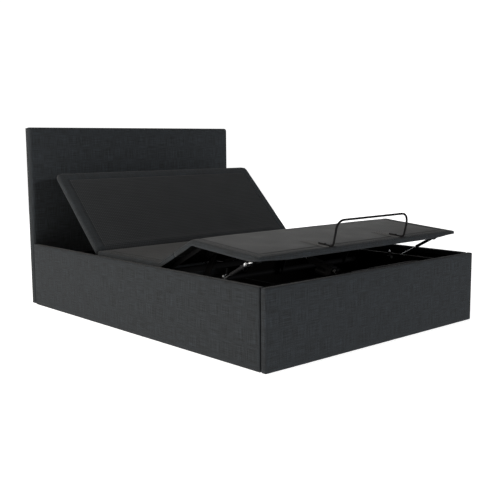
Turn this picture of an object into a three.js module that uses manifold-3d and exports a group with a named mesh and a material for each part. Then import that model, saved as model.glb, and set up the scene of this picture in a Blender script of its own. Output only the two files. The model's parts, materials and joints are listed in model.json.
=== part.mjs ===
// Adjustable bed base: an upholstered surround (headboard, two side rails, foot panel) around a
// steel frame that carries a four-section deck. One linear actuator lifts the back section, one
// lifts the thigh section through a torsion tube, and two guided struts steady the leg section.
// Millimetres, +Z up. Origin: floor level, centre of the whole bed. -Y is the foot, +Y the
// headboard, and "left" is -X, as seen from the foot.
import * as THREE from 'three';
import { mergeVertices } from 'three/addons/utils/BufferGeometryUtils.js';
import Module from 'manifold-3d';

const wasm = await Module();
wasm.setup();

// ---------------------------------------------------------------- driving dimensions
const bedWidth = 1630;
const bedLength = 2210;
const railHeight = 390;
const headboardHeight = 1125;
const headboardThickness = 54;
const panelThickness = 32;
const gap = 0.3;

// Deck: four boards on hinge lines, each with an upholstered pad on top.
const deckWidth = 1542;
const boardThickness = 15;
const padThickness = 14;
const hingeZ = 388;
const headAxisY = 363;
const thighAxisY = -248;
const headLength = 630;
const thighLength = 310;
const legLength = 491;
const legBoardLength = 432;
const kneeRecess = 26;

// Angles of the stored pose, in degrees from flat.
const headAngle = 44.45;
const thighAngle = 27.2;
const kneeFold = 31.67;

// Steel frame.
const tubeWall = 30;
const tubeDepth = 40;
const sideTubeX = 700;
const sideTubeTop = 350;
const crossTubeTop = 334;
const crossTubeDepth = 30;
const steelWall = 2;
const footCrossY = -835;
const middleCrossY = -95;
const headCrossY = 895;
const frameFootEnd = -1010;
const frameHeadEnd = 985;

// Leg lift: torsion tube with a lever in the middle and two arms with glides.
const liftY = -343;
const liftZ = 290;
const liftTubeRadius = 15;
const liftArmLength = 200;
const liftArmAngle = 58.9;
const liftArmX = 548;
const leverLength = 150;
const leverLead = 7.1;

// Linear actuators, hinged at their motor end.
const legMotorY = -795;
const legMotorZ = 342;
const headMotorY = -60;
const headMotorZ = 268;
const headLeverLength = 120;
const headLeverFlatAngle = -120;

// Struts between the side tubes and the leg section.
const strutX = 731;
const strutBaseY = -650;
const strutBaseZ = 335;
const strutPinAlong = 378;
const strutPinBelow = 30.4;

// ---------------------------------------------------------------- derived dimensions
const halfWidth = bedWidth / 2;
const footOuterY = -bedLength / 2;
const footInnerY = footOuterY + panelThickness;
const headOuterY = bedLength / 2;
const headInnerY = headOuterY - headboardThickness;
const railInnerX = halfWidth - panelThickness;
const boardTop = boardThickness / 2 + 0.5;
const boardBottom = boardTop - boardThickness;
const padBottom = boardTop + gap;
const padTop = padBottom + padThickness - gap;
const armTop = boardBottom - gap;
const armBottom = armTop - 21.7;
const lugRadius = 7.5;
const pinRadius = 3.6;
const pinHoleRadius = 4.2;
const outerPlateX = 699;
const innerPlateX = 692;
const plateThickness = 6;
const rad = THREE.MathUtils.degToRad;

// ---------------------------------------------------------------- materials
function material(color, roughness, metalness) {
  return new THREE.MeshStandardMaterial({ color, roughness, metalness });
}

const linen = material(0x33373b, 0.95, 0);
const deckFabric = material(0x3e4043, 0.9, 0);
const wood = material(0xa98a62, 0.8, 0);
const blackSteel = material(0x1d1e20, 0.45, 0.6);
const brightSteel = material(0xb9bcc0, 0.3, 0.9);
const blackPlastic = material(0x232426, 0.55, 0);
const nylon = material(0xd8d8d2, 0.5, 0);

// ---------------------------------------------------------------- geometry helpers
function toSolid(geometry) {
  const plain = geometry.clone();
  plain.deleteAttribute('normal');
  plain.deleteAttribute('uv');
  const merged = mergeVertices(plain, 1e-4);
  const mesh = new wasm.Mesh({
    numProp: 3,
    vertProperties: new Float32Array(merged.attributes.position.array),
    triVerts: new Uint32Array(merged.index.array),
  });
  return new wasm.Manifold(mesh);
}

function toGeometry(solid) {
  const mesh = solid.getMesh();
  const geometry = new THREE.BufferGeometry();
  geometry.setAttribute('position', new THREE.BufferAttribute(mesh.vertProperties, 3));
  geometry.setIndex(new THREE.BufferAttribute(mesh.triVerts, 1));
  geometry.computeVertexNormals();
  return geometry;
}

function join(first, ...others) {
  return toGeometry(others.reduce((sum, next) => sum.add(toSolid(next)), toSolid(first)));
}

function cut(first, ...tools) {
  return toGeometry(tools.reduce((rest, tool) => rest.subtract(toSolid(tool)), toSolid(first)));
}

function ordered(a, b) {
  return a < b ? [a, b] : [b, a];
}

function block(xEnds, yEnds, zEnds) {
  const [x0, x1] = ordered(...xEnds);
  const [y0, y1] = ordered(...yEnds);
  const [z0, z1] = ordered(...zEnds);
  const geometry = new THREE.BoxGeometry(x1 - x0, y1 - y0, z1 - z0);
  return geometry.translate((x0 + x1) / 2, (y0 + y1) / 2, (z0 + z1) / 2);
}

// A flat outline in the Y-Z plane, given depth along X.
function plateX(outline, xEnds, curveSegments = 6) {
  const [x0, x1] = ordered(...xEnds);
  const geometry = new THREE.ExtrudeGeometry(outline, {
    depth: x1 - x0,
    bevelEnabled: false,
    curveSegments,
  });
  const turn = new THREE.Matrix4().makeBasis(
    new THREE.Vector3(0, 1, 0),
    new THREE.Vector3(0, 0, 1),
    new THREE.Vector3(1, 0, 0),
  );
  return geometry.applyMatrix4(turn).translate(x0, 0, 0);
}

// A section in the X-Z plane, given depth along Y.
function barY(outline, yEnds, curveSegments = 4) {
  const [y0, y1] = ordered(...yEnds);
  const geometry = new THREE.ExtrudeGeometry(outline, {
    depth: y1 - y0,
    bevelEnabled: false,
    curveSegments,
  });
  const turn = new THREE.Matrix4().makeBasis(
    new THREE.Vector3(1, 0, 0),
    new THREE.Vector3(0, 0, 1),
    new THREE.Vector3(0, -1, 0),
  );
  return geometry.applyMatrix4(turn).translate(0, y1, 0);
}

// A plan outline in the X-Y plane, given height along Z.
function slabZ(outline, zEnds, curveSegments = 5) {
  const [z0, z1] = ordered(...zEnds);
  const geometry = new THREE.ExtrudeGeometry(outline, {
    depth: z1 - z0,
    bevelEnabled: false,
    curveSegments,
  });
  return geometry.translate(0, 0, z0);
}

function rodX(radius, xEnds, y, z, sides = 16) {
  const [x0, x1] = ordered(...xEnds);
  const geometry = new THREE.CylinderGeometry(radius, radius, x1 - x0, sides);
  return geometry.rotateZ(Math.PI / 2).translate((x0 + x1) / 2, y, z);
}

function rodY(radius, yEnds, x, z, sides = 16) {
  const [y0, y1] = ordered(...yEnds);
  const geometry = new THREE.CylinderGeometry(radius, radius, y1 - y0, sides);
  return geometry.translate(x, (y0 + y1) / 2, z);
}

function roundedRectangle(a0, a1, b0, b1, radius) {
  const outline = new THREE.Shape();
  outline.moveTo(a0 + radius, b0);
  outline.lineTo(a1 - radius, b0);
  outline.absarc(a1 - radius, b0 + radius, radius, -Math.PI / 2, 0, false);
  outline.lineTo(a1, b1 - radius);
  outline.absarc(a1 - radius, b1 - radius, radius, 0, Math.PI / 2, false);
  outline.lineTo(a0 + radius, b1);
  outline.absarc(a0 + radius, b1 - radius, radius, Math.PI / 2, Math.PI, false);
  outline.lineTo(a0, b0 + radius);
  outline.absarc(a0 + radius, b0 + radius, radius, Math.PI, 1.5 * Math.PI, false);
  return outline;
}

function polygon(points) {
  return new THREE.Shape(points.map(([a, b]) => new THREE.Vector2(a, b)));
}

// Two discs joined by tangent lines, the second one `length` towards the foot of the first.
function linkOutline(length, radiusA, radiusB, holeRadius = 0) {
  const lean = Math.asin((radiusA - radiusB) / length);
  const touch = Math.PI / 2 + lean;
  const outline = new THREE.Shape();
  outline.absarc(0, 0, radiusA, -touch, touch, false);
  outline.absarc(-length, 0, radiusB, touch, 2 * Math.PI - touch, false);
  if (holeRadius > 0) {
    outline.holes.push(new THREE.Path().absarc(0, 0, holeRadius, 0, 2 * Math.PI, true));
  }
  return outline;
}

function piece(parent, name, geometry, finish) {
  const mesh = new THREE.Mesh(geometry, finish.clone());
  mesh.name = name;
  parent.add(mesh);
  return mesh;
}

const bothSides = [['left', -1], ['right', 1]];

// ---------------------------------------------------------------- groups that move
const bed = new THREE.Group();

function turningGroup(parent, y, z, degrees) {
  const group = new THREE.Group();
  group.position.set(0, y, z);
  group.rotation.x = rad(degrees);
  parent.add(group);
  return group;
}

const headSection = turningGroup(bed, headAxisY, hingeZ, headAngle);
const thighSection = turningGroup(bed, thighAxisY, hingeZ, -thighAngle);
const legSection = turningGroup(thighSection, -thighLength, 0, kneeFold);
const legLift = turningGroup(bed, liftY, liftZ, -liftArmAngle);

// ---------------------------------------------------------------- upholstered surround
const padding = 4;
const headboardFoam = 30;
const coverReturn = 2;
const coreRecess = 10;
const hemWidth = 30;
const edgeRadius = 7;

function addSideRail(side, sign) {
  const yEnds = [footInnerY + gap, headInnerY - gap];
  const outer = barY(
    roundedRectangle(railInnerX, halfWidth, 0, railHeight, edgeRadius), yEnds);
  const pocket = block([railInnerX + coverReturn, halfWidth - padding],
    [yEnds[0] - 1, yEnds[1] + 1], [padding, railHeight - padding]);
  const opening = block([railInnerX - 1, railInnerX + coverReturn + 1],
    [yEnds[0] - 1, yEnds[1] + 1], [hemWidth, railHeight - hemWidth]);
  const core = block([railInnerX + coverReturn + gap, halfWidth - padding - gap],
    [yEnds[0] + coreRecess, yEnds[1] - coreRecess],
    [padding + gap, railHeight - padding - gap]);
  const cover = cut(outer, pocket, opening);
  if (sign < 0) {
    core.rotateZ(Math.PI).translate(0, yEnds[0] + yEnds[1], 0);
    cover.rotateZ(Math.PI).translate(0, yEnds[0] + yEnds[1], 0);
  }
  piece(bed, `side_rail_core_${side}`, core, wood);
  piece(bed, `side_rail_cover_${side}`, cover, linen);
}

function addFootPanel() {
  const outer = plateX(roundedRectangle(footOuterY, footInnerY, 0, railHeight, edgeRadius),
    [-halfWidth, halfWidth]);
  const inside = halfWidth - padding;
  const pocket = block([-inside, inside],
    [footOuterY + padding, footInnerY - coverReturn], [padding, railHeight - padding]);
  const opening = block([hemWidth - halfWidth, halfWidth - hemWidth],
    [footInnerY - coverReturn - 1, footInnerY + 1], [hemWidth, railHeight - hemWidth]);
  const core = block([-inside + gap, inside - gap],
    [footOuterY + padding + gap, footInnerY - coverReturn - gap],
    [padding + gap, railHeight - padding - gap]);
  piece(bed, 'foot_panel_core', core, wood);
  piece(bed, 'foot_panel_cover', cut(outer, pocket, opening), linen);
}

function addHeadboard() {
  const outer = plateX(
    roundedRectangle(headInnerY, headOuterY, 0, headboardHeight, edgeRadius + 2),
    [-halfWidth, halfWidth]);
  const inside = halfWidth - padding;
  const foamFront = headInnerY + headboardFoam;
  const pocket = block([-inside, inside],
    [foamFront, headOuterY - coverReturn], [padding, headboardHeight - padding]);
  const opening = block([hemWidth - halfWidth, halfWidth - hemWidth],
    [headOuterY - coverReturn - 1, headOuterY + 1], [hemWidth, headboardHeight - hemWidth]);
  const core = block([-inside + gap, inside - gap],
    [foamFront + gap, headOuterY - coverReturn - gap],
    [padding + gap, headboardHeight - padding - gap]);
  piece(bed, 'headboard_core', core, wood);
  piece(bed, 'headboard_cover', cut(outer, pocket, opening), linen);
}

// Steel angles that bolt each rail to the headboard and to the foot panel.
function addCornerBracket(name, side, sign, panelY, inward) {
  const reach = 50;
  const steel = 3;
  const cornerX = sign * (railInnerX - gap);
  const cornerY = panelY + inward * gap;
  const zEnds = [110, 300];
  const onRail = block([cornerX, cornerX - sign * steel], [cornerY, cornerY + inward * reach],
    zEnds);
  const onPanel = block([cornerX, cornerX - sign * reach], [cornerY, cornerY + inward * steel],
    zEnds);
  piece(bed, `${name}_${side}`, join(onRail, onPanel), blackSteel);
}

// ---------------------------------------------------------------- steel frame
function addSideTube(side, sign) {
  const outerX = sign * (sideTubeX + tubeWall / 2);
  const innerX = sign * (sideTubeX - tubeWall / 2);
  const zEnds = [sideTubeTop - tubeDepth, sideTubeTop];
  const tube = block([innerX, outerX], [frameFootEnd, frameHeadEnd], zEnds);
  const hollow = block([innerX + sign * steelWall, outerX - sign * steelWall],
    [frameFootEnd - 1, frameHeadEnd + 1], [zEnds[0] + steelWall, zEnds[1] - steelWall]);
  const strutStud = rodX(4.5, [outerX - sign, sign * (strutX + 9)], strutBaseY, strutBaseZ);
  const strutBolt = rodX(8, [sign * (strutX + 12), sign * (strutX + 6.5)],
    strutBaseY, strutBaseZ, 6);
  const strutSpacer = rodX(8, [outerX - sign, sign * (strutX - 6.5)], strutBaseY, strutBaseZ);
  const bearingPlate = plateX(roundedRectangle(liftY - 28, liftY + 28, liftZ - 28, 349, 10),
    [innerX + sign * 0.5, innerX - sign * 8]);
  const bearingHole = rodX(liftTubeRadius + 1, [innerX - sign * 12, innerX + sign],
    liftY, liftZ, 24);
  const body = join(tube, strutStud, strutSpacer, strutBolt, bearingPlate);
  piece(bed, `frame_tube_${side}`, cut(body, bearingHole, hollow), blackSteel);
}

function addCrossTube(name, y) {
  const reach = sideTubeX - tubeWall / 2 - gap;
  const yEnds = [y - tubeWall / 2, y + tubeWall / 2];
  const tube = block([-reach, reach], yEnds, [crossTubeTop - crossTubeDepth, crossTubeTop]);
  const hollow = block([-reach - 1, reach + 1], [yEnds[0] + steelWall, yEnds[1] - steelWall],
    [crossTubeTop - crossTubeDepth + steelWall, crossTubeTop - steelWall]);
  piece(bed, name, cut(tube, hollow), blackSteel);
}

function addFrameLeg(name, side, sign, y) {
  const top = sideTubeTop - tubeDepth - gap;
  const half = tubeWall / 2 - 2;
  const post = block([sign * (sideTubeX - half), sign * (sideTubeX + half)],
    [y - tubeDepth / 2, y + tubeDepth / 2], [10, top]);
  const plate = block([sign * (sideTubeX - half), sign * (sideTubeX + half + 8)],
    [y - tubeDepth / 2 - 12, y + tubeDepth / 2 + 12], [top - 4, top]);
  const foot = new THREE.CylinderGeometry(16, 22, 12, 20);
  foot.rotateX(Math.PI / 2).translate(sign * sideTubeX, y, 6);
  piece(bed, `${name}_${side}`, join(post, plate, foot), blackSteel);
}

// ---------------------------------------------------------------- deck
const notchDepth = 18;
const notchX = [688, 709];

function notches(axisY) {
  return bothSides.map(([, sign]) => block([sign * notchX[0], sign * notchX[1]],
    [axisY - notchDepth, axisY + notchDepth], [boardBottom - 1, boardTop + 1]));
}

// A board between two ends; the far one has rounded corners where a radius is given.
function board(hingeEnd, farEnd, axes, cornerRadius = 0) {
  const outline = deckOutline(deckWidth / 2 - 5, hingeEnd, farEnd, cornerRadius);
  const slab = slabZ(outline, [boardBottom, boardTop]);
  return cut(slab, ...axes.flatMap((axisY) => notches(axisY)));
}

function deckOutline(half, hingeEnd, farEnd, cornerRadius) {
  const side = Math.sign(farEnd - hingeEnd);
  const outline = new THREE.Shape();
  outline.moveTo(-half, hingeEnd);
  outline.lineTo(-half, farEnd - side * cornerRadius);
  if (cornerRadius > 0) {
    outline.quadraticCurveTo(-half, farEnd, -half + cornerRadius, farEnd);
  }
  outline.lineTo(half - cornerRadius, farEnd);
  if (cornerRadius > 0) {
    outline.quadraticCurveTo(half, farEnd, half, farEnd - side * cornerRadius);
  }
  outline.lineTo(half, hingeEnd);
  return outline;
}

function pad(hingeEnd, farEnd, cornerRadius) {
  return slabZ(deckOutline(deckWidth / 2, hingeEnd, farEnd, cornerRadius), [padBottom, padTop]);
}

// A bar under a board with a round lug on the hinge axis and a hole for the hinge pin.
function hingeArm(xEnds, reach) {
  const side = Math.sign(reach);
  const bar = plateX(polygon([
    [-side * lugRadius, armBottom + 8],
    [side * 8, armBottom],
    [reach - side * 20, armBottom],
    [reach, armBottom + 10],
    [reach, armTop],
    [-side * lugRadius, armTop],
  ]), xEnds);
  const neck = block(xEnds, [-lugRadius, lugRadius], [armTop - 2, 0]);
  const lug = rodX(lugRadius, xEnds, 0, 0, 20);
  const hole = rodX(pinHoleRadius, [xEnds[0] - 2, xEnds[1] + 2], 0, 0);
  return cut(join(bar, neck, lug), hole);
}

function sideEnds(sign, a, b) {
  return ordered(sign * a, sign * b);
}

function addSeat() {
  const seat = new THREE.Group();
  seat.position.set(0, 0, hingeZ);
  bed.add(seat);
  piece(seat, 'seat_board',
    board(thighAxisY + 4, headAxisY - 6, [thighAxisY, headAxisY]), wood);
  piece(seat, 'seat_pad', pad(thighAxisY + 9, headAxisY - 13.5, 1), deckFabric);
  for (const [side, sign] of bothSides) {
    const plateEnds = sideEnds(sign, innerPlateX, innerPlateX + plateThickness);
    const plate = block(plateEnds, [thighAxisY - lugRadius, headAxisY + lugRadius],
      [sideTubeTop + gap - hingeZ, armTop]);
    const flange = block(sideEnds(sign, 650, innerPlateX + 1),
      [thighAxisY + 50, headAxisY - 50], [armTop - 3, armTop]);
    const parts = [flange];
    for (const axisY of [thighAxisY, headAxisY]) {
      parts.push(block(plateEnds, [axisY - lugRadius, axisY + lugRadius], [armTop - 2, 0]));
      parts.push(rodX(lugRadius, plateEnds, axisY, 0, 20));
      parts.push(rodX(pinRadius,
        sideEnds(sign, innerPlateX + 1, outerPlateX + plateThickness + 2), axisY, 0));
    }
    piece(seat, `seat_support_${side}`, join(plate, ...parts), blackSteel);
  }
}

function addHeadSection() {
  piece(headSection, 'head_board', board(6, headLength - 4, [0], 24), wood);
  piece(headSection, 'head_pad', pad(13.5, headLength, 30), deckFabric);
  for (const [side, sign] of bothSides) {
    const ends = sideEnds(sign, outerPlateX, outerPlateX + plateThickness);
    piece(headSection, `head_arm_${side}`, hingeArm(ends, 560), blackSteel);
  }
  const beam = block([-600, 600], [60, 100], [armTop - 40, armTop]);
  const angle = rad(headLeverFlatAngle);
  const pinY = headLeverLength * Math.cos(angle);
  const pinZ = headLeverLength * Math.sin(angle);
  const levers = bothSides.flatMap(([, sign]) => {
    const ends = sideEnds(sign, 13, 19);
    const plate = plateX(polygon([
      [62, armTop - 20],
      [pinY - 10, pinZ + 13],
      [pinY - 17, pinZ - 2],
      [pinY - 8, pinZ - 15],
      [pinY + 8, pinZ - 15],
      [98, armTop - 38],
    ]), ends);
    return [plate, rodX(9, sideEnds(sign, 18, 24), pinY, pinZ, 6)];
  });
  piece(headSection, 'head_lift_beam', join(beam, ...levers), blackSteel);
}

function addThighSection() {
  piece(thighSection, 'thigh_board', board(-4, kneeRecess - thighLength, [0]), wood);
  piece(thighSection, 'thigh_pad', pad(-9, 1 - thighLength, 1), deckFabric);
  for (const [side, sign] of bothSides) {
    const ends = sideEnds(sign, outerPlateX, outerPlateX + plateThickness);
    const bar = hingeArm(ends, -thighLength);
    const kneeLug = join(
      block(ends, [-thighLength - lugRadius, lugRadius - thighLength], [armTop - 2, 0]),
      rodX(lugRadius, ends, -thighLength, 0, 20),
      rodX(pinRadius, sideEnds(sign, innerPlateX - 1.5, outerPlateX + 1), -thighLength, 0),
    );
    piece(thighSection, `thigh_arm_${side}`, join(bar, kneeLug), blackSteel);
  }
  for (const [side, sign] of bothSides) {
    const open = liftArmX + 5;
    const wall = 2.5;
    const height = 33;
    const outer = block(sideEnds(sign, open, open + 27), [-165, -300], [armTop - height, armTop]);
    const inner = block(sideEnds(sign, open - 1, open + 27 - wall), [-160, -305],
      [armTop - height + wall, armTop - wall]);
    piece(thighSection, `thigh_track_${side}`, cut(outer, inner), blackSteel);
  }
}

function addLegSection() {
  piece(legSection, 'leg_board', board(-kneeRecess, -legBoardLength, []), wood);
  piece(legSection, 'leg_pad', pad(-1, -legLength, 24), deckFabric);
  for (const [side, sign] of bothSides) {
    const ends = sideEnds(sign, innerPlateX, innerPlateX + plateThickness);
    const tabEnds = sideEnds(sign, strutX - 15, strutX - 10);
    const web = block(sideEnds(sign, innerPlateX + 5, strutX - 10), [-345, -411],
      [armTop - 5, armTop]);
    const tab = plateX(polygon([
      [-345, armTop - 1],
      [-411, armTop - 1],
      [12 - strutPinAlong - 24, -strutPinBelow - 13],
      [12 - strutPinAlong, -strutPinBelow - 13],
    ]), tabEnds);
    const stud = rodX(4.5, sideEnds(sign, strutX - 12, strutX + 12),
      -strutPinAlong, -strutPinBelow);
    const bolt = rodX(12, sideEnds(sign, strutX + 10, strutX + 14),
      -strutPinAlong, -strutPinBelow, 12);
    piece(legSection, `leg_arm_${side}`,
      join(hingeArm(ends, -430), web, tab, stud, bolt), blackSteel);
  }
  addRetainer();
}

// ---------------------------------------------------------------- mattress retainer
const retainerHalf = 280;
const retainerRadius = 4.5;
const retainerFootZ = padTop + 6;
const retainerTopZ = 159;

function retainerPath() {
  const bend = 16;
  const corner = 24;
  const footStart = -412;
  const upright = -496;
  const top = -510;
  const path = new THREE.CurvePath();
  const at = (x, y, z) => new THREE.Vector3(x, y, z);
  const side = (sign) => ({
    start: at(sign * retainerHalf, footStart, retainerFootZ),
    bendIn: at(sign * retainerHalf, upright + bend, retainerFootZ),
    bendMiddle: at(sign * retainerHalf, upright, retainerFootZ),
    bendOut: at(sign * retainerHalf, upright - 2, retainerFootZ + bend),
    cornerIn: at(sign * retainerHalf, top + 3, retainerTopZ - corner),
    cornerMiddle: at(sign * retainerHalf, top, retainerTopZ),
    cornerOut: at(sign * (retainerHalf - corner), top, retainerTopZ),
  });
  const left = side(-1);
  const right = side(1);
  path.add(new THREE.LineCurve3(left.start, left.bendIn));
  path.add(new THREE.QuadraticBezierCurve3(left.bendIn, left.bendMiddle, left.bendOut));
  path.add(new THREE.LineCurve3(left.bendOut, left.cornerIn));
  path.add(new THREE.QuadraticBezierCurve3(left.cornerIn, left.cornerMiddle, left.cornerOut));
  path.add(new THREE.LineCurve3(left.cornerOut, right.cornerOut));
  path.add(new THREE.QuadraticBezierCurve3(right.cornerOut, right.cornerMiddle, right.cornerIn));
  path.add(new THREE.LineCurve3(right.cornerIn, right.bendOut));
  path.add(new THREE.QuadraticBezierCurve3(right.bendOut, right.bendMiddle, right.bendIn));
  path.add(new THREE.LineCurve3(right.bendIn, right.start));
  return path;
}

function addRetainer() {
  const section = new THREE.Shape();
  section.absarc(0, 0, retainerRadius, 0, 2 * Math.PI, false);
  const bar = new THREE.ExtrudeGeometry(section, {
    steps: 80,
    curveSegments: 4,
    bevelEnabled: false,
    extrudePath: retainerPath(),
  });
  piece(legSection, 'retainer_bar', bar, blackSteel);
  for (const [side, sign] of bothSides) {
    const x = sign * retainerHalf;
    const block0 = block([x - 9, x + 9], [-404, -440],
      [padTop + gap, retainerFootZ + retainerRadius + 3.5]);
    const bore = rodY(retainerRadius + 0.5, [-408, -450], x, retainerFootZ);
    piece(legSection, `retainer_socket_${side}`, cut(block0, bore), blackPlastic);
  }
}

// ---------------------------------------------------------------- leg lift linkage
function addLegLift() {
  const leverY = -leverLength * Math.cos(rad(leverLead));
  const leverZ = leverLength * Math.sin(rad(leverLead));
  const tube = rodX(liftTubeRadius, [-680, 680], 0, 0, 24);
  const levers = bothSides.flatMap(([, sign]) => {
    const ends = sideEnds(sign, 14, 20);
    const plate = plateX(linkOutline(leverLength, 22, 15), ends).rotateX(-rad(leverLead));
    return [plate, rodX(8, sideEnds(sign, 19, 24), leverY, leverZ, 6)];
  });
  piece(legLift, 'lift_tube', join(tube, ...levers), blackSteel);
  for (const [side, sign] of bothSides) {
    const ends = sideEnds(sign, liftArmX - 3, liftArmX + 3);
    const arm = plateX(linkOutline(liftArmLength, 26, 12, liftTubeRadius + 0.6), ends, 12);
    const stud = rodX(5, sideEnds(sign, liftArmX, liftArmX + 25), -liftArmLength, 0);
    piece(legLift, `lift_arm_${side}`, join(arm, stud), blackSteel);
    const glideEnds = sideEnds(sign, liftArmX + 7, liftArmX + 23);
    const roller = rodX(10, glideEnds, -liftArmLength, 0, 20);
    const bore = rodX(5.5, sideEnds(sign, liftArmX + 5, liftArmX + 26), -liftArmLength, 0);
    piece(legLift, `lift_glide_${side}`, cut(roller, bore), nylon);
  }
}

// ---------------------------------------------------------------- actuators
// The place of a lever pin in the bed's frame, in the Y-Z plane.
function legLeverPin() {
  const angle = rad(liftArmAngle + leverLead);
  return [liftY - leverLength * Math.cos(angle), liftZ + leverLength * Math.sin(angle)];
}

function headLeverPin() {
  const angle = rad(headLeverFlatAngle + headAngle);
  return [headAxisY + headLeverLength * Math.cos(angle),
    hingeZ + headLeverLength * Math.sin(angle)];
}

// Housing and rod lie along +Y of their own group, from the motor-end hinge to the pin.
function addActuator(name, motor, pin, housingLength, rodLength) {
  const dy = pin[0] - motor[0];
  const dz = pin[1] - motor[1];
  const reach = Math.hypot(dy, dz);
  const group = turningGroup(bed, motor[0], motor[1], THREE.MathUtils.radToDeg(Math.atan2(dz, dy)));
  const eyeRadius = 10;
  const rail = barY(roundedRectangle(-18, 18, -16, 16, 5), [17, housingLength]);
  const eye = rodX(eyeRadius, [-11, 11], 0, 0, 20);
  const neck = block([-11, 11], [0, 19], [-8, 8]);
  const gearCase = barY(roundedRectangle(-24, 24, -58, 10, 10), [18, 58]);
  const motorCan = rodY(20, [56, 135], 0, -38, 24);
  const bore = rodY(10.5, [55, housingLength + 1], 0, 0);
  const hingeHole = rodX(5.6, [-12, 12], 0, 0);
  const housing = cut(join(rail, neck, eye, gearCase, motorCan), bore, hingeHole);
  piece(group, `${name}_housing`, housing, blackPlastic);
  const rod = rodY(9, [reach - rodLength, reach - 6], 0, 0, 20);
  const rodEye = rodX(eyeRadius, [-11, 11], reach, 0, 20);
  piece(group, `${name}_rod`, join(rod, rodEye), brightSteel);
}

function addLegMotorMount() {
  const face = footCrossY + tubeWall / 2 + gap;
  const low = crossTubeTop - crossTubeDepth + 2;
  const back = block([-30, 30], [face, face + 4], [low, crossTubeTop]);
  const ears = bothSides.map(([, sign]) => plateX(polygon([
    [face, low],
    [legMotorY + 6, legMotorZ - 13],
    [legMotorY + 13, legMotorZ],
    [legMotorY + 6, legMotorZ + 12],
    [legMotorY - 6, legMotorZ + 12],
    [face, crossTubeTop],
  ]), sideEnds(sign, 12, 17)));
  const pin = rodX(4.6, [-16, 16], legMotorY, legMotorZ);
  piece(bed, 'leg_actuator_mount', join(back, ...ears, pin), blackSteel);
}

function addHeadMotorMount() {
  const top = crossTubeTop - crossTubeDepth - gap;
  const plate = block([-30, 30], [middleCrossY - 15, middleCrossY + 15], [top - 4, top]);
  const ears = bothSides.map(([, sign]) => plateX(polygon([
    [middleCrossY - 15, top],
    [middleCrossY - 15, top - 12],
    [headMotorY - 9, headMotorZ - 10],
    [headMotorY + 4, headMotorZ - 13],
    [headMotorY + 12, headMotorZ],
    [middleCrossY + 15, top],
  ]), sideEnds(sign, 12, 17)));
  const pin = rodX(4.6, [-16, 16], headMotorY, headMotorZ);
  piece(bed, 'head_actuator_mount', join(plate, ...ears, pin), blackSteel);
}

// ---------------------------------------------------------------- struts of the leg section
// The strut's upper pin on the leg section, in the bed's frame.
function strutTop() {
  bed.updateMatrixWorld(true);
  const pin = new THREE.Vector3(0, -strutPinAlong, -strutPinBelow);
  return legSection.localToWorld(pin);
}

function addStrut(side, sign) {
  const top = strutTop();
  const dy = strutBaseY - top.y;
  const dz = top.z - strutBaseZ;
  const reach = Math.hypot(dy, dz);
  const group = turningGroup(bed, strutBaseY, strutBaseZ,
    -THREE.MathUtils.radToDeg(Math.atan2(dz, dy)));
  const x = sign * strutX;
  const eyeEnds = [x - 5, x + 5];
  const rod = join(rodY(4, [-8, 45 - reach], x, 0, 12), rodX(10, eyeEnds, 0, 0, 20));
  const rodHole = rodX(5.3, [x - 7, x + 7], 0, 0);
  piece(group, `strut_rod_${side}`, cut(rod, rodHole), brightSteel);
  const barrel = rodY(9, [-142, 12 - reach], x, 0, 20);
  const upperEye = rodX(14, eyeEnds, -reach, 0, 24);
  const bore = rodY(5, [-140, 30 - reach], x, 0, 16);
  const eyeHole = rodX(9.6, [x - 7, x + 7], -reach, 0, 20);
  const cylinder = cut(join(barrel, upperEye), bore, eyeHole);
  piece(group, `strut_cylinder_${side}`, cylinder, blackSteel);
}

// ---------------------------------------------------------------- control box
function addControlBox() {
  const shell = barY(roundedRectangle(-180, -60, 300, 388, 6),
    [footInnerY + gap, footInnerY + 20]);
  const inlet = block([-150, -130], [footInnerY + 8, footInnerY + 16], [298, 314]);
  piece(bed, 'control_box', cut(shell, inlet), blackPlastic);
}

// ---------------------------------------------------------------- assembly
addHeadboard();
addFootPanel();
for (const [side, sign] of bothSides) {
  addSideRail(side, sign);
  addCornerBracket('foot_corner_bracket', side, sign, footInnerY, 1);
  addCornerBracket('head_corner_bracket', side, sign, headInnerY, -1);
  addSideTube(side, sign);
  addFrameLeg('foot_end_leg', side, sign, -870);
  addFrameLeg('head_end_leg', side, sign, 860);
}
addCrossTube('foot_cross_tube', footCrossY);
addCrossTube('middle_cross_tube', middleCrossY);
addCrossTube('head_cross_tube', headCrossY);
addSeat();
addHeadSection();
addThighSection();
addLegSection();
addLegLift();
addLegMotorMount();
addHeadMotorMount();
addActuator('leg_actuator', [legMotorY, legMotorZ], legLeverPin(), 209, 225);
addActuator('head_actuator', [headMotorY, headMotorZ], headLeverPin(), 255, 265);
for (const [side, sign] of bothSides) {
  addStrut(side, sign);
}
addControlBox();

export default bed;
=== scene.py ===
import json
import math
import bpy
import numpy as np
from mathutils import Matrix, Vector, noise


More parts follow.
